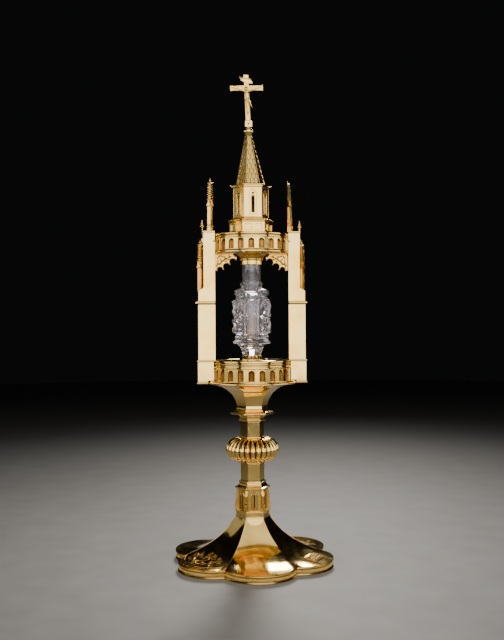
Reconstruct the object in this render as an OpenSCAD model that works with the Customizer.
// Gothic reliquary monstrance in gilt silver with a rock-crystal vessel.
// +Z is up, the front faces -Y, and the origin is the centre of the foot's resting plane.

/* [Foot] */
// Distance from the axis to the centre of each of the six lobes
foot_lobe_offset = 43; // [41:0.5:45]
// Radius of each lobe, measured to the outside of the mouldings
foot_lobe_r = 34; // [33:0.5:35]
// Height of the upright rim
foot_rim_h = 7; // [6:0.5:8]
// Height of the foot up to the stem
foot_h = 42; // [40:0.5:44]
// Thickness of the raised sheet
sheet_t = 1; // [0.8:0.1:1.2]

/* [Stem] */
// Corner radius of the hexagonal top of the foot
neck_r = 16.2; // [15.5:0.1:17]
// Corner radius of the hexagonal shafts
shaft_r = 11.2; // [10.8:0.1:11.6]
// Radius of the knop at its widest
knop_r = 25; // [24:0.5:26]
// Number of gadroons round the knop
knop_lobes = 28; // [24:1:30]
// Radius of the tie rod that clamps the stem
rod_r = 2.2; // [2:0.1:2.4]

/* [Galleries] */
// Outer radius of the lower gallery's base, which also carries the piers
lower_base_r = 41.6; // [41:0.1:42]
// Outer radius of the lower gallery above its base
lower_r = 35.8; // [35.4:0.1:36]
// Bays round the lower gallery
lower_bays = 22; // [20:2:24]
// Outer radius of the upper gallery, which stands between the piers
upper_r = 34.2; // [34:0.1:34.2]
// Bays round the upper gallery
upper_bays = 22; // [18:2:22]
// Clear height between the two galleries
opening_h = 98.8; // [98:0.2:100]

/* [Piers] */
// Distance from the axis to the inner face of each pier
pier_in = 34.5; // [34.5:0.1:34.8]
// Thickness of the piers from front to back
pier_t = 9; // [8.5:0.5:9.5]
// Distance from the axis to the main pinnacles
pinnacle_x = 38; // [38:0.1:38.5]
// Distance from the axis to the outer pinnacles
outer_pinnacle_x = 47.8; // [47.6:0.1:48]
// Corner radius of the pinnacles' shafts
pinnacle_r = 2.5; // [2.2:0.1:2.5]

/* [Crystal] */
// Radius of the carved body
crystal_r = 18.4; // [17.5:0.1:19]
// Radius of the neck
crystal_neck_r = 9.2; // [9:0.1:9.3]
// Radius of the drilled bore
bore_r = 6.2; // [6:0.1:6.4]

/* [Tower] */
// Corner radius of the lantern
lantern_r = 16.5; // [16:0.1:17]
// Corner radius of the spire at the eaves
spire_r = 12.7; // [12.5:0.1:13.5]
// Height of the spire
spire_h = 46; // [44:0.5:47]
// How far the spire's bent tip stands to the left of the axis
spire_bend = 2; // [0:0.5:2.5]
// How far the cross leans to its right, in degrees
cross_lean = 2.5; // [0:0.5:3]

/* [Hidden] */
$fn = 72;
GILT = [0.83, 0.64, 0.32];
DEEP_GILT = [0.72, 0.50, 0.20];
CLEAR = [0.80, 0.80, 0.88, 0.4];
SILK = [0.55, 0.36, 0.30];

// Levels, from the foot up
tab_z = foot_h;
tab_base_h = 6.6;
tab_wall_z = tab_z + tab_base_h;
tab_wall_h = 19.6;
cornice_z = tab_wall_z + tab_wall_h;
cornice_h = 7.8;
lower_shaft_z = cornice_z + cornice_h;
lower_shaft_h = 16;
collar_h = 1.8;
knop_lower_z = lower_shaft_z + lower_shaft_h + collar_h;
knop_half_h = 10.7;
knop_equator_z = knop_lower_z + knop_half_h;
knop_upper_z = knop_equator_z + knop_half_h;
upper_shaft_z = knop_upper_z + collar_h;
upper_shaft_h = 14;
capital_z = upper_shaft_z + upper_shaft_h;
capital_h = 14.6;
funnel_z = capital_z + capital_h;
funnel_h = 20.4;
gallery_z = funnel_z + funnel_h;
gallery_base_h = 3.2;
lower_arcade_h = 11.4;
lower_cap_h = 7.1;
deck_z = gallery_z + gallery_base_h + lower_arcade_h + lower_cap_h;
deck_t = 1.5;
upper_z = deck_z + opening_h;
upper_base_h = 3;
upper_arcade_h = 10.7;
upper_cap_h = 4.7;
roof_z = upper_z + upper_base_h + upper_arcade_h + upper_cap_h;
plinth_h = 11.3;
lantern_base_z = roof_z + plinth_h;
lantern_base_h = 4.3;
lantern_z = lantern_base_z + lantern_base_h;
lantern_h = 27;
eaves_z = lantern_z + lantern_h;
eaves_h = 3.8;
spire_z = eaves_z + eaves_h;
finial_z = spire_z + spire_h;
finial_h = 8;
socket_z = finial_z + finial_h;
socket_h = 5.9;

// Widths shared by pieces that meet
wall_t = 1.2;
foot_notch_r = foot_lobe_offset * cos(30) + sqrt(pow(foot_lobe_r, 2) - pow(foot_lobe_offset / 2, 2));
foot_tip_r = foot_lobe_offset + foot_lobe_r;
lower_cap_r = lower_r + 0.6;
lower_drum_r = lower_r - 3;
upper_drum_r = upper_r - 3.5;
pier_out = 50.3;
pier_step_x = 45.2;
ledge_z = deck_z + 65.3;
string_z = deck_z + 53.3;
pier_top_z = roof_z + 3;
tongue_t = 1;
tongue_y = 2.1;
tongue_out = pier_in + 1.6;
tongue_gap = 0.25;
tongue_h = 14;
peg_r = 0.6;
peg_z = upper_z + 12;
peg_x = pier_in + 0.9;
seat_z = deck_z + 2.3;
neck_top_z = upper_z - 5.5;
collar_z = upper_z - 10;
trumpet_z = upper_z - 4;
neck_gap = 0.8;
vessel_h = 70.2;
relic_r = 5.4;
relic_z = seat_z + 17.5;
relic_h = 24;
tenon_r = 1.2;
pin_r = 0.5;
pin_tip_gap = 0.05;

// ---- Shapes that repeat ----

// A hexagonal ring turned from a profile of [corner radius, height] points
module hex_turned(profile) rotate_extrude($fn = 6) polygon(profile);

// A round ring turned from a profile
module turned(profile) rotate_extrude() polygon(profile);

// A hexagonal tube
module hex_tube(outer, inner, height) difference() {
    cylinder(r = outer, h = height, $fn = 6);
    translate([0, 0, -1]) cylinder(r = inner, h = height + 2, $fn = 6);
}

// A pointed-arch opening, standing on the X axis and centred on it
module lancet(width, height) {
    spring = height - width * sin(60);
    translate([-width / 2, 0]) square([width, spring]);
    translate([0, spring]) intersection() {
        translate([-width / 2, 0]) circle(r = width);
        translate([width / 2, 0]) circle(r = width);
        translate([-width, 0]) square([width * 2, width]);
    }
}

// Six copies, one on each face of a hexagon whose flats face front and back
module each_face() for (k = [0:5]) rotate(30 + 60 * k) children();

// Six copies, one at each corner
module each_corner() for (k = [0:5]) rotate(60 * k) children();

// The six-lobed outline, drawn in by an inset
module hexafoil(inset) {
    for (k = [0:5]) rotate(30 + 60 * k) translate([foot_lobe_offset, 0]) circle(r = foot_lobe_r - inset);
    rotate(30) circle(r = foot_lobe_offset, $fn = 6);
}

// A hollow rim that follows the six lobes
module foil_ring(out_inset, in_inset, z0, height) translate([0, 0, z0]) linear_extrude(height) difference() {
    hexafoil(out_inset);
    hexafoil(in_inset);
}

// A closed body swept through rings of points, where the last ring joins the first
module ring_body(rings) {
    rows = len(rings);
    cols = len(rings[0]);
    points = [for (ring = rings) each ring];
    quads = [for (i = [0:rows - 1]) for (j = [0:cols - 1]) let (
        a = i * cols + j,
        b = i * cols + (j + 1) % cols,
        c = ((i + 1) % rows) * cols + (j + 1) % cols,
        d = ((i + 1) % rows) * cols + j
    ) each [[a, b, c], [a, c, d]]];
    polyhedron(points, quads);
}

// A point on a quadratic curve through three control points
function bend(p, q, r, t) = (1 - t) * (1 - t) * p + 2 * t * (1 - t) * q + t * t * r;

// ---- Foot ----

// Distance from the axis to the arc through ridge radius a (at 30 degrees) and middle radius b (at 0 degrees)
function lobe_reach(a, b, angle) = let (
    flat = a * cos(30),
    c = (b * b - a * a) / (2 * (b - flat))
) b - flat < 0.02
    ? flat / cos(angle)
    : c * cos(angle) + sqrt(pow(b - c, 2) - pow(c * sin(angle), 2)) * sign(b - c);

foot_cols = 60;
foot_rows = 11;
ridge_bend = [30, 19];
middle_bend = [26, 9];

// One ring of the shell at share t of the way from the neck to the rim, moved in and down for the underside
function foot_ring(t, inset, drop) = let (
    ridge = bend([neck_r, foot_h], ridge_bend, [foot_notch_r, foot_rim_h + sheet_t], t),
    middle = bend([neck_r * cos(30) + 0.03, foot_h], middle_bend, [foot_tip_r, foot_rim_h + sheet_t], t)
) [for (j = [0:foot_cols - 1]) let (
    angle = j * 360 / foot_cols,
    from_middle = angle % 60 - 30,
    share = pow(from_middle / 30, 2),
    reach = lobe_reach(ridge[0] - inset, middle[0] - inset, from_middle),
    height = middle[1] + (ridge[1] - middle[1]) * share - drop
) [reach * cos(angle), reach * sin(angle), height]];

function round_ring(radius, height) = [for (j = [0:foot_cols - 1]) let (angle = j * 360 / foot_cols)
    [radius * cos(angle), radius * sin(angle), height]];

module foot_shell() color(GILT) {
    hole = rod_r + 0.6;
    ring_body(concat(
        [round_ring(hole, foot_h - sheet_t), round_ring(hole, foot_h)],
        [for (i = [0:foot_rows]) foot_ring(i / foot_rows, 0, 0)],
        [for (i = [foot_rows:-1:0]) foot_ring(i / foot_rows, 0.8, sheet_t)]
    ));
}

module foot_rim_lower_moulding() color(GILT) foil_ring(0, 3.4, 0, 1.6);

module foot_rim_band() color(DEEP_GILT) foil_ring(0.9, 2.1, 1.6, foot_rim_h - 3);

module foot_rim_upper_moulding() color(GILT) foil_ring(0, 3.4, foot_rim_h - 1.4, 1.4);

// A small plaque that rests by its inner and outer edges on the front right lobe
plaque_turn = -33;
plaque_r = 61;
plaque_z = foot_rim_h + 2.7;
plaque_tilt = 8.4;

module foot_plaque() color(GILT) rotate(plaque_turn) translate([plaque_r, 0, plaque_z])
    rotate([0, plaque_tilt, 0]) linear_extrude(0.9) polygon([[-6.4, -10], [6, -11.5], [6, 11], [-6.4, 11.5]]);

// ---- Tie rod ----

rod_bottom_z = foot_h - sheet_t - 10;
rod_head_z = gallery_z + 1.4;
nut_h = 5;
flange_h = 1.4;

module tie_rod() color(DEEP_GILT) {
    translate([0, 0, rod_bottom_z]) cylinder(r = rod_r, h = rod_head_z - rod_bottom_z);
    translate([0, 0, rod_head_z]) cylinder(r = rod_r + 2.8, h = 2);
}

// A square nut with a broad flange that bears on the underside of the foot
module tie_rod_nut() color(DEEP_GILT) translate([0, 0, foot_h - sheet_t - nut_h - flange_h]) difference() {
    union() {
        cylinder(r = 6, h = nut_h + 0.1, $fn = 4);
        translate([0, 0, nut_h]) cylinder(r = 9.5, h = flange_h);
    }
    translate([0, 0, -1]) cylinder(r = rod_r + 0.05, h = nut_h + flange_h + 2);
}

// ---- Tabernacle node on the foot ----

tab_wall_r = 14.2;
tab_core_r = 12.6;

module tabernacle_base() color(GILT) translate([0, 0, tab_z]) difference() {
    hex_turned([[rod_r + 1, 0], [neck_r, 0], [neck_r, 1], [neck_r - 0.5, 1.5], [neck_r - 0.5, tab_base_h - 1],
        [neck_r, tab_base_h - 0.6], [neck_r, tab_base_h], [rod_r + 1, tab_base_h]]);
    each_face() translate([neck_r * cos(30) - 1.2, 0, 2.1]) rotate([90, 0, 90])
        linear_extrude(3) translate([-5.4, 0]) square([10.8, 2.9]);
}

module tabernacle_walls() color(GILT) translate([0, 0, tab_wall_z]) difference() {
    hex_tube(tab_wall_r, tab_core_r, tab_wall_h);
    each_face() translate([tab_wall_r * cos(30) - 0.6, 0, 1.6]) rotate([90, 0, 90])
        linear_extrude(2) lancet(6.2, tab_wall_h - 3);
    each_face() translate([tab_core_r * cos(30) - 1, 0, 2.6]) rotate([90, 0, 90])
        linear_extrude(4) lancet(1.7, 12.6);
    each_face() translate([tab_core_r * cos(30) - 1, 0, 16.3]) rotate([0, 90, 0]) cylinder(r = 0.7, h = 4);
}

// Stepped buttresses on the six corners
module tabernacle_buttresses() color(DEEP_GILT) each_corner() difference() {
    translate([0, 1.2, tab_wall_z]) rotate([90, 0, 0]) linear_extrude(2.4) polygon([
        [tab_wall_r - 1.2, 0], [neck_r + 0.4, 0], [neck_r + 0.4, 6], [neck_r - 0.4, 7.6],
        [neck_r - 0.4, 14], [neck_r - 1.2, 15.6], [tab_wall_r + 0.2, tab_wall_h],
        [tab_wall_r - 1.2, tab_wall_h]
    ]);
    translate([0, 0, tab_wall_z - 1]) cylinder(r = tab_wall_r, h = tab_wall_h + 2, $fn = 6);
}

module tabernacle_cornice() color(GILT) translate([0, 0, cornice_z]) hex_turned([
    [rod_r + 1, 0], [tab_wall_r + 0.3, 0], [neck_r + 0.8, 0.8], [neck_r + 0.8, 1.8], [14.2, 3.0], [12.8, 4.4],
    [12.3, 5.2], [12.3, 5.9], [13.1, 6.2], [13.1, 7.0], [12.2, cornice_h], [rod_r + 1, cornice_h]
]);

// ---- Shafts and knop ----

module shaft(z0, height) color(GILT) translate([0, 0, z0]) hex_tube(shaft_r, shaft_r - wall_t, height);

module lower_shaft() shaft(lower_shaft_z, lower_shaft_h);

module upper_shaft() shaft(upper_shaft_z, upper_shaft_h);

module knop_collar(z0) color(DEEP_GILT) translate([0, 0, z0]) hex_turned([
    [rod_r + 1, 0], [shaft_r + 0.6, 0], [shaft_r + 1.6, 0.5], [shaft_r + 1.6, 1.3],
    [shaft_r + 0.6, collar_h], [rod_r + 1, collar_h]
]);

module knop_lower_collar() knop_collar(knop_lower_z - collar_h);

module knop_upper_collar() knop_collar(knop_upper_z);

knop_steps = 4;
knop_rows = 5;
knop_end_r = 12.4;
gadroon_depth = 1.5;

// One ring of a knop half at share t from the equator (0) to the collar (1); side is 1 above and -1 below
function knop_ring(t, side, inset) = let (
    radius = knop_end_r + (knop_r - knop_end_r) * cos(90 * t) - inset,
    height = knop_equator_z + side * (knop_half_h * sin(90 * t) - (t == 0 ? 0 : inset))
) [for (j = [0:knop_lobes * knop_steps - 1]) let (
    angle = j * 360 / (knop_lobes * knop_steps),
    groove = gadroon_depth * pow(cos(90 * t), 0.5) * (1 - abs(cos(knop_lobes * angle / 2))),
    reach = radius - groove
) [reach * cos(angle), reach * sin(angle), height]];

function knop_disc(radius, height) = [for (j = [0:knop_lobes * knop_steps - 1])
    let (angle = j * 360 / (knop_lobes * knop_steps)) [radius * cos(angle), radius * sin(angle), height]];

function knop_rings(side) = let (end_z = knop_equator_z + side * knop_half_h) concat(
    [for (i = [0:knop_rows]) knop_ring(i / knop_rows, side, 0)],
    [knop_disc(rod_r + 1, end_z), knop_disc(rod_r + 1, end_z - side * sheet_t)],
    [for (i = [knop_rows:-1:0]) knop_ring(i / knop_rows, side, sheet_t)]
);

function reversed(list) = [for (i = [len(list) - 1:-1:0]) list[i]];

module knop_upper_half() color(GILT) ring_body(reversed(knop_rings(1)));

module knop_lower_half() color(GILT) ring_body(knop_rings(-1));

// ---- Capital and funnel under the lower gallery ----

module stem_capital() color(GILT) translate([0, 0, capital_z]) hex_turned([
    [rod_r + 1, 0], [shaft_r, 0], [12.7, 0.5], [12.7, 1.7], [11.8, 2.3], [11.8, 5.4], [14, 5.9],
    [20.2, 6.6], [20.6, 7.0], [20.6, 8.2], [17.2, 9.6], [15.2, 11.2], [14.4, 12.2], [14.4, capital_h],
    [rod_r + 1, capital_h]
]);

// Height share at which the funnel has a given width, as a concave flare
function funnel_outer(t) = bend([14.4, 0], [17.5, 17.2], [lower_base_r - 1.2, funnel_h], t);

module funnel() color(GILT) translate([0, 0, funnel_z]) {
    steps = 10;
    outer = [for (i = [0:steps]) funnel_outer(i / steps)];
    inner = [for (i = [steps - 1:-1:1]) funnel_outer(i / steps) + [-1.2, 0.9]];
    hex_turned(concat(
        outer, [[lower_base_r - 8, funnel_h]], [for (p = inner) if (p[1] < funnel_h) p], [[13, 0]]
    ));
}

// ---- Galleries ----

// A ring of round-arched panels with a pilaster between each two
module arcade(radius, bays, z0, height) translate([0, 0, z0]) {
    bay = 360 / bays;
    panel_w = 2 * radius * sin(bay / 2) - 1.6;
    opening = panel_w * 0.52;
    head_z = height - 1 - opening / 2;
    for (k = [0:bays - 1]) rotate(bay * (k + 0.5) - 90) translate([radius * cos(bay / 2) - 1.8, 0, 0])
        rotate([90, 0, 90]) linear_extrude(1) difference() {
            translate([-panel_w / 2, 0]) square([panel_w, height]);
            translate([-opening / 2, 0.6]) square([opening, head_z - 0.6]);
            translate([0, head_z]) circle(d = opening, $fn = 32);
        }
    for (k = [0:bays - 1]) rotate(bay * k - 90) translate([radius - 2.2, -opening * 0.4, 0])
        cube([2, opening * 0.8, height]);
}

module lower_base_moulding() color(GILT) translate([0, 0, gallery_z]) turned([
    [rod_r + 0.4, 0], [lower_base_r - 0.6, 0], [lower_base_r, 0.5], [lower_base_r, 1.5],
    [lower_base_r - 1, 2.2], [lower_base_r - 1.6, gallery_base_h], [lower_r - 5, gallery_base_h],
    [lower_r - 5, 1.4], [rod_r + 0.4, 1.4]
]);

module lower_arcade() color(GILT) arcade(lower_r, lower_bays, gallery_z + gallery_base_h, lower_arcade_h);

module lower_drum() color(DEEP_GILT) translate([0, 0, gallery_z + gallery_base_h]) turned([
    [lower_drum_r - 1, 0], [lower_drum_r, 0],
    [lower_drum_r, lower_arcade_h], [lower_drum_r - 1, lower_arcade_h]
]);

module lower_top_moulding() color(GILT) translate([0, 0, deck_z - lower_cap_h]) turned([
    [lower_r - 5, 0], [lower_r - 0.2, 0], [lower_cap_r, 0.4], [lower_cap_r, 1.6], [lower_r - 0.5, 2.2],
    [lower_r - 0.5, 3.4], [lower_r, 3.9], [lower_r, 4.6], [lower_r - 0.6, 5.1], [lower_r - 0.6, 5.7],
    [lower_cap_r, 6.2], [lower_cap_r, lower_cap_h], [lower_r - 5, lower_cap_h]
]);

module deck_plate() color(GILT) translate([0, 0, deck_z - deck_t]) cylinder(r = lower_r - 5, h = deck_t);

// A lobed cup that the crystal stands in
module crystal_seat() color(GILT) translate([0, 0, deck_z]) turned([
    [0, 0], [12, 0], [12, 0.8], [11.2, 1.4], [10.6, 2.6], [9.8, 3.4], [9.4, 4.6], [8.7, 4.6],
    [8.4, 2.3], [0, 2.3]
]);

// ---- Piers ----

// Runs a piece on the right side, or mirrored to the left
module on_side(side) mirror([side < 0 ? 1 : 0, 0, 0]) children();

module pier() color(GILT) difference() {
    translate([0, pier_t / 2, 0]) rotate([90, 0, 0]) linear_extrude(pier_t) polygon([
        [pier_in, gallery_z], [pier_out + 1.4, gallery_z], [pier_out + 1.4, gallery_z + 1.2],
        [pier_out + 0.5, gallery_z + 2.2], [pier_out + 0.5, deck_z - 1.4], [pier_out + 1.2, deck_z - 0.9],
        [pier_out + 1.2, deck_z], [pier_out, deck_z + 0.7], [pier_out, string_z - 1.2],
        [pier_out + 2.4, string_z], [pier_out + 2.4, string_z + 0.8], [pier_out - 0.3, string_z + 2.6],
        [pier_out - 0.3, ledge_z - 0.8], [pier_step_x, ledge_z], [pier_step_x, pier_top_z - 2],
        [pier_step_x + 0.5, pier_top_z - 1.3], [pier_step_x + 0.5, pier_top_z], [pier_in, pier_top_z]
    ]);
    translate([0, 0, gallery_z - 1]) cylinder(r = lower_base_r + 0.02, h = gallery_base_h + 1);
    translate([0, 0, gallery_z]) cylinder(r = lower_cap_r + 0.02, h = deck_z - gallery_z);
    for (y = [-tongue_y - tongue_t, tongue_y]) translate([pier_in - 1, y - tongue_gap, upper_z - 0.2])
        cube([tongue_out + tongue_gap - pier_in + 1, tongue_t + 2 * tongue_gap, 30]);
    translate([peg_x, -pier_t / 2 - 1, peg_z]) rotate([-90, 0, 0]) cylinder(r = peg_r + 0.05, h = pier_t / 2);
}

// A diagonally set shaft with a gabled band, a ringed spirelet and a crossed finial
module pinnacle(shaft_h) {
    gable_h = 6;
    ring_h = 2.1;
    rings = 7;
    cylinder(r = pinnacle_r, h = shaft_h, $fn = 4);
    translate([0, 0, shaft_h]) cylinder(r1 = pinnacle_r + 1.2, r2 = pinnacle_r + 0.1, h = gable_h, $fn = 4);
    for (k = [0:rings - 1]) translate([0, 0, shaft_h + gable_h + k * ring_h])
        cylinder(r1 = pinnacle_r * (1 - 0.03 * k), r2 = pinnacle_r * (0.75 - 0.03 * k), h = ring_h, $fn = 4);
    translate([0, 0, shaft_h + gable_h + rings * ring_h]) {
        translate([-2.9, -0.55, 0]) cube([5.8, 1.1, 1.2]);
        translate([-0.55, -2.9, 0]) cube([1.1, 5.8, 1.2]);
        translate([0, 0, 1.2]) cylinder(r1 = 1.1, r2 = 0.3, h = 4.4, $fn = 24);
    }
}

module main_pinnacle() color(GILT) translate([pinnacle_x, 0, pier_top_z]) {
    cylinder(r = pinnacle_r + 0.3, h = 6, $fn = 4);
    translate([0, 0, 6]) pinnacle(17);
}

module outer_pinnacle() color(GILT) translate([outer_pinnacle_x, 0, ledge_z]) difference() {
    pinnacle(20.4);
    translate([pier_step_x - outer_pinnacle_x - 10, -5, -1]) cube([10, 10, 60]);
}

// A slender stalk with a leaf finial on a corbel at the pier's outer corner
module flower() color(GILT) {
    corbel_z = pier_top_z - 12;
    translate([pier_step_x, -1.2, corbel_z]) cube([1.7, 2.4, 5]);
    translate([pier_step_x + 0.9, 0, corbel_z + 5]) {
        cylinder(r = 0.8, h = 5);
        translate([0.4, 0, 5]) cylinder(r = 0.75, h = 12);
        translate([0.4, 0, 16.4]) sphere(r = 1.3, $fn = 24);
        translate([-1.5, -0.6, 15]) cube([3.8, 1.2, 1]);
        translate([0.4, 0, 17]) cylinder(r1 = 1.1, r2 = 0.25, h = 4.6, $fn = 24);
    }
}

// A cusped half arch that fills the corner between pier and gallery
module bracket() color(DEEP_GILT) translate([0, 0.7, 0]) rotate([90, 0, 0]) linear_extrude(1.4) difference() {
    translate([12.8, upper_z - 15]) square([upper_r - 12.8, 15]);
    translate([13.6, upper_z - 19.8]) circle(r = 15.2);
    for (k = [0:3]) translate([13.6, upper_z - 19.8])
        rotate(9 + 24 * k) translate([15.4, 0]) circle(r = 2.5, $fn = 32);
    translate([0, trumpet_z - 1.5]) square([13.6, 8]);
    translate([0, upper_z - 1.9]) square([16.9, 4]);
}

module peg() color(DEEP_GILT) translate([peg_x, 0, peg_z]) rotate([90, 0, 0]) {
    tip = tongue_y + tongue_t + pin_tip_gap;
    translate([0, 0, tip]) cylinder(r = peg_r, h = pier_t / 2 + 0.3 - tip, $fn = 24);
    translate([0, 0, pier_t / 2 + 0.05]) cylinder(r = peg_r + 0.5, h = 0.7, $fn = 24);
}

module left_pier() on_side(-1) pier();
module left_main_pinnacle() on_side(-1) main_pinnacle();
module left_outer_pinnacle() on_side(-1) outer_pinnacle();
module left_flower() on_side(-1) flower();
module left_bracket() on_side(-1) bracket();
module left_peg() on_side(-1) peg();
module right_pier() on_side(1) pier();
module right_main_pinnacle() on_side(1) main_pinnacle();
module right_outer_pinnacle() on_side(1) outer_pinnacle();
module right_flower() on_side(1) flower();
module right_bracket() on_side(1) bracket();
module right_peg() on_side(1) peg();

// ---- Crystal vessel and relic ----

module crystal_vessel() color(CLEAR) translate([0, 0, seat_z]) {
    body_h = 41;
    neck_foot_z = 69;
    turned([
        [0, 0], [7.4, 0], [8.1, 2.3], [11.2, 10.5], [13, 12.6], [17.4, 13.2], [17.8, 15], [16.2, 16.6],
        [16.2, 20.4], [crystal_r, 22], [crystal_r, 22 + body_h * 0.78], [17.8, 55.4], [14.8, 57],
        [14.8, 58.4], [16.2, 59.4], [16.2, 62.6], [14, 64], [10.4, 64.6], [10, 66], [10.4, neck_foot_z],
        [10.4, vessel_h], [bore_r, vessel_h], [bore_r, relic_z - seat_z], [0, relic_z - seat_z]
    ]);
}

// A plain clear tube that stands on the carved vessel
module crystal_neck() color(CLEAR) translate([0, 0, seat_z + vessel_h]) {
    neck_h = neck_top_z - seat_z - vessel_h;
    turned([[bore_r, 0], [crystal_neck_r, 0], [crystal_neck_r, neck_h], [bore_r, neck_h]]);
}

module relic_bundle() color(SILK) translate([0, 0, relic_z + 0.05]) turned([
    [0, 0], [relic_r - 1, 0], [relic_r, 1], [relic_r, relic_h - 8], [relic_r - 1.6, relic_h - 6],
    [1.8, relic_h - 5], [2.6, relic_h - 3], [2.2, relic_h - 0.8], [0, relic_h]
]);

// ---- Tower: neck collar, upper gallery, lantern, spire ----

// A loose ring round the crystal's neck
module neck_collar() color(GILT) translate([0, 0, collar_z]) turned([
    [crystal_neck_r + neck_gap, 0], [10.6, 0], [10.6, 4.4], [11.4, 5], [11.6, 5.5], [11.6, 6],
    [crystal_neck_r + neck_gap, 6]
]);

// The collar opens into a trumpet under the gallery
module collar_trumpet() color(DEEP_GILT) translate([0, 0, trumpet_z]) turned([
    [11.1, 0], [11.6, 0], [11.9, 1.2], [13.4, 2.6], [15.4, 3.6], [16.8, 4], [16.8, 5.2], [14.8, 5.2],
    [12.2, 3.8], [11.1, 1.6]
]);

module upper_base_moulding() color(GILT) translate([0, 0, upper_z]) turned([
    [16.85, 0], [upper_r - 0.9, 0], [upper_r, 0.6], [upper_r, 1.7], [upper_r - 0.7, 2.3],
    [upper_r - 0.5, upper_base_h], [upper_r - 4.5, upper_base_h], [upper_r - 4.5, 1.2], [16.85, 1.2]
]);

module upper_arcade() color(GILT) arcade(upper_r, upper_bays, upper_z + upper_base_h, upper_arcade_h);

module upper_drum() color(DEEP_GILT) translate([0, 0, upper_z + upper_base_h]) turned([
    [upper_drum_r - 1, 0], [upper_drum_r, 0],
    [upper_drum_r, upper_arcade_h], [upper_drum_r - 1, upper_arcade_h]
]);

module upper_top_moulding() color(GILT) translate([0, 0, roof_z - upper_cap_h]) turned([
    [upper_r - 4.5, 0], [upper_r - 0.6, 0], [upper_r, 0.5], [upper_r, 1.3], [upper_r - 0.7, 1.7],
    [upper_r - 0.7, 2.1], [upper_r - 0.1, 2.4], [upper_r - 0.1, upper_cap_h], [upper_r - 4.5, upper_cap_h]
]);

// Tabs that drop into the slots of the two piers
module tower_tongues() color(DEEP_GILT) for (side = [-1, 1]) on_side(side) difference() {
    for (y = [-tongue_y - tongue_t, tongue_y]) translate([upper_r - 1, y, upper_z])
        cube([tongue_out - upper_r + 1, tongue_t, tongue_h]);
    translate([0, 0, upper_z - 1]) cylinder(r = upper_r + 0.01, h = tongue_h + 2, $fn = 360);
}

module roof_plate() color(GILT) translate([0, 0, roof_z - 1.5]) difference() {
    cylinder(r = upper_r - 4.5, h = 1.5);
    translate([0, 0, -1]) cylinder(r = 8, h = 4);
}

module lantern_plinth() color(GILT) translate([0, 0, roof_z]) difference() {
    corner_r = 20.4;
    hex_turned([[16, 0], [corner_r + 0.6, 0], [corner_r + 0.6, 1], [corner_r, 1.6], [corner_r, plinth_h - 1],
        [corner_r + 0.4, plinth_h - 0.5], [corner_r + 0.4, plinth_h], [16, plinth_h]]);
    each_face() for (side = [-1, 1]) translate([corner_r * cos(30) - 0.8, side * 4.7 - 3.3, 2.8])
        cube([3, 6.6, 8.2]);
}

module lantern_base_moulding() color(GILT) translate([0, 0, lantern_base_z]) hex_turned([
    [10, 0], [20.4, 0], [21.6, 0.7], [21.6, 1.7], [19.6, 2.4], [18.2, 3.4], [lantern_r + 0.8, lantern_base_h],
    [10, lantern_base_h]
]);

module lantern_walls() color(GILT) translate([0, 0, lantern_z]) difference() {
    hex_tube(lantern_r, lantern_r - wall_t, lantern_h);
    each_face() translate([lantern_r * cos(30) - 0.45, 0, 2.4]) rotate([90, 0, 90])
        linear_extrude(2) lancet(7, 23);
    each_face() translate([lantern_r * cos(30) - 3, 0, 3.4]) rotate([90, 0, 90])
        linear_extrude(4) lancet(3, 16);
    each_face() translate([lantern_r * cos(30) - 3, 0, 21.2]) rotate([0, 90, 0])
        cylinder(r = 1, h = 4, $fn = 24);
}

// Eaves with a small leaf on each corner
module lantern_eaves() color(GILT) translate([0, 0, eaves_z]) {
    hex_turned([
        [8, 0], [lantern_r + 0.1, 0], [lantern_r + 1, 0.8], [lantern_r + 1, 1.4], [lantern_r + 0.3, 1.9],
        [lantern_r + 0.8, 2.5], [lantern_r + 0.8, 3.1], [spire_r + 1, eaves_h], [8, eaves_h]
    ]);
    each_corner() translate([lantern_r + 0.5, -0.8, 1.2]) cube([3, 1.6, 1.4]);
}

spire_top_r = 2.6;

// Six corners at a height share t up the spire, whose centre drifts to the left
function spire_ring(t, inset) = let (radius = spire_r + (spire_top_r - spire_r) * t - inset)
    [for (k = [0:5]) [radius * cos(60 * k) - spire_bend * t, radius * sin(60 * k), spire_z + spire_h * t]];

module spire() color(GILT) ring_body([
    spire_ring(0, 1.6), spire_ring(1, 1), spire_ring(1, 0), spire_ring(0, 0)
]);

// Rolls along the six edges of the spire
module spire_ribs() color(GILT) {
    roll_r = 0.8;
    low = spire_ring(0, 0);
    high = spire_ring(1, 0);
    for (k = [0:5]) {
        run = high[k] - low[k];
        difference() {
            translate(low[k]) rotate([0, acos(run[2] / norm(run)), atan2(run[1], run[0])])
                cylinder(r = roll_r, h = norm(run), $fn = 24);
            translate([0, 0, spire_z - 5]) cylinder(r = 40, h = 5);
            spire_core();
            translate([0, 0, spire_z + spire_h]) cylinder(r = 20, h = 5);
        }
    }
}

// The spire filled in, for cutting the rolls flush
module spire_core() {
    points = concat(spire_ring(0, 0), spire_ring(1, 0));
    sides = [for (k = [0:5]) let (n = (k + 1) % 6) each [[k, n + 6, n], [k, k + 6, n + 6]]];
    polyhedron(points, concat(sides, [[0, 1, 2, 3, 4, 5], [11, 10, 9, 8, 7, 6]]));
}

module finial_knop() color(GILT) translate([-spire_bend, 0, finial_z]) hex_turned([
    [0, 0], [2.8, 0], [4.3, 1.4], [5.4, 3.0], [5.4, 4.2], [4.2, 5.8], [3.2, finial_h - 0.6], [3.4, finial_h],
    [0, finial_h]
]);

// ---- Cross ----

// Places a piece in the leaning frame of the cross, whose origin is the foot of the tenon
module leaning() translate([-spire_bend, 0, socket_z + 0.4]) rotate([0, -cross_lean, 0]) children();

socket_w = 6.6;

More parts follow.
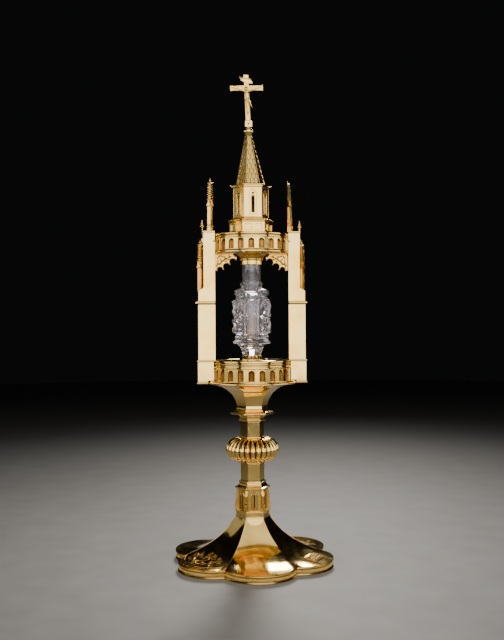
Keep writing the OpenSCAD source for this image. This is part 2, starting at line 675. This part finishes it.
module cross_socket() color(GILT) difference() {
    translate([-spire_bend - socket_w / 2, -2, socket_z]) cube([socket_w, 4, socket_h]);
    leaning() translate([0, 0, 0.2]) cylinder(r = tenon_r + 0.08, h = 20, $fn = 24);
    leaning() translate([0, -1, 2.6]) rotate([90, 0, 0]) cylinder(r = pin_r + 0.05, h = 4, $fn = 24);
}

arm_h = 5.1;
arm_span = 31;
plate_t = 1.6;
crossing_h = 36.2;
shaft_top_h = 44.4;

module cross() color(GILT) leaning() {
    translate([0, 0, 0.3]) cylinder(r = tenon_r, h = socket_h, $fn = 24);
    translate([-2.4, -plate_t / 2, socket_h + 0.1]) cube([4.8, plate_t, shaft_top_h - socket_h - 0.1]);
    translate([-arm_span / 2, -plate_t / 2, crossing_h - arm_h / 2]) cube([arm_span, plate_t, arm_h]);
}

// A pin that bears on the tenon from the front
module cross_pin() color(DEEP_GILT) leaning() translate([0, 0, 2.6]) rotate([90, 0, 0]) {
    translate([0, 0, tenon_r + pin_tip_gap]) cylinder(r = pin_r, h = 2.3 - tenon_r, $fn = 24);
    translate([0, 0, 2.3]) cylinder(r = pin_r + 0.3, h = 0.5, $fn = 24);
}

// The figure, in plain volumes that meet the front of the cross
module corpus() color(GILT) leaning() translate([0, -plate_t / 2, 0]) difference() {
    union() {
        translate([-0.4, -1.6, crossing_h - 2.2]) sphere(r = 1.7, $fn = 24);
        translate([0.2, -1, 23]) cylinder(r1 = 1.7, r2 = 2.1, h = crossing_h - 26, $fn = 24);
        translate([0.2, -1, 13]) cylinder(r1 = 1.1, r2 = 1.7, h = 10.1, $fn = 24);
        for (side = [-1, 1]) translate([0.2, -0.9, crossing_h - 3.4]) rotate([0, side * 77, 0])
            cylinder(r = 0.8, h = 13, $fn = 24);
    }
    translate([-20, 0, -5]) cube([40, 10, 60]);
}

// A curled scroll across the head of the cross
module title_scroll() color(GILT) leaning() translate([0, -plate_t / 2, shaft_top_h]) rotate([90, 0, 0])
    linear_extrude(1) polygon([
        [-6.2, 3.2], [-2.4, 2.6], [-2.2, 4.2], [2.0, 4.0], [1.8, 0.8], [5.2, 0.2], [6, -4.6],
        [0.4, -3.2], [-0.6, -1.4], [-5, -1.8]
    ]);

foot_rim_lower_moulding();
foot_rim_band();
foot_rim_upper_moulding();
foot_shell();
foot_plaque();
tie_rod();
tie_rod_nut();
tabernacle_base();
tabernacle_walls();
tabernacle_buttresses();
tabernacle_cornice();
lower_shaft();
knop_lower_collar();
knop_lower_half();
knop_upper_half();
knop_upper_collar();
upper_shaft();
stem_capital();
funnel();
lower_base_moulding();
lower_arcade();
lower_drum();
lower_top_moulding();
deck_plate();
crystal_seat();
left_pier();
left_main_pinnacle();
left_outer_pinnacle();
left_flower();
left_bracket();
left_peg();
right_pier();
right_main_pinnacle();
right_outer_pinnacle();
right_flower();
right_bracket();
right_peg();
crystal_vessel();
crystal_neck();
relic_bundle();
neck_collar();
collar_trumpet();
upper_base_moulding();
upper_arcade();
upper_drum();
upper_top_moulding();
tower_tongues();
roof_plate();
lantern_plinth();
lantern_base_moulding();
lantern_walls();
lantern_eaves();
spire();
spire_ribs();
finial_knop();
cross_socket();
cross();
cross_pin();
corpus();
title_scroll();
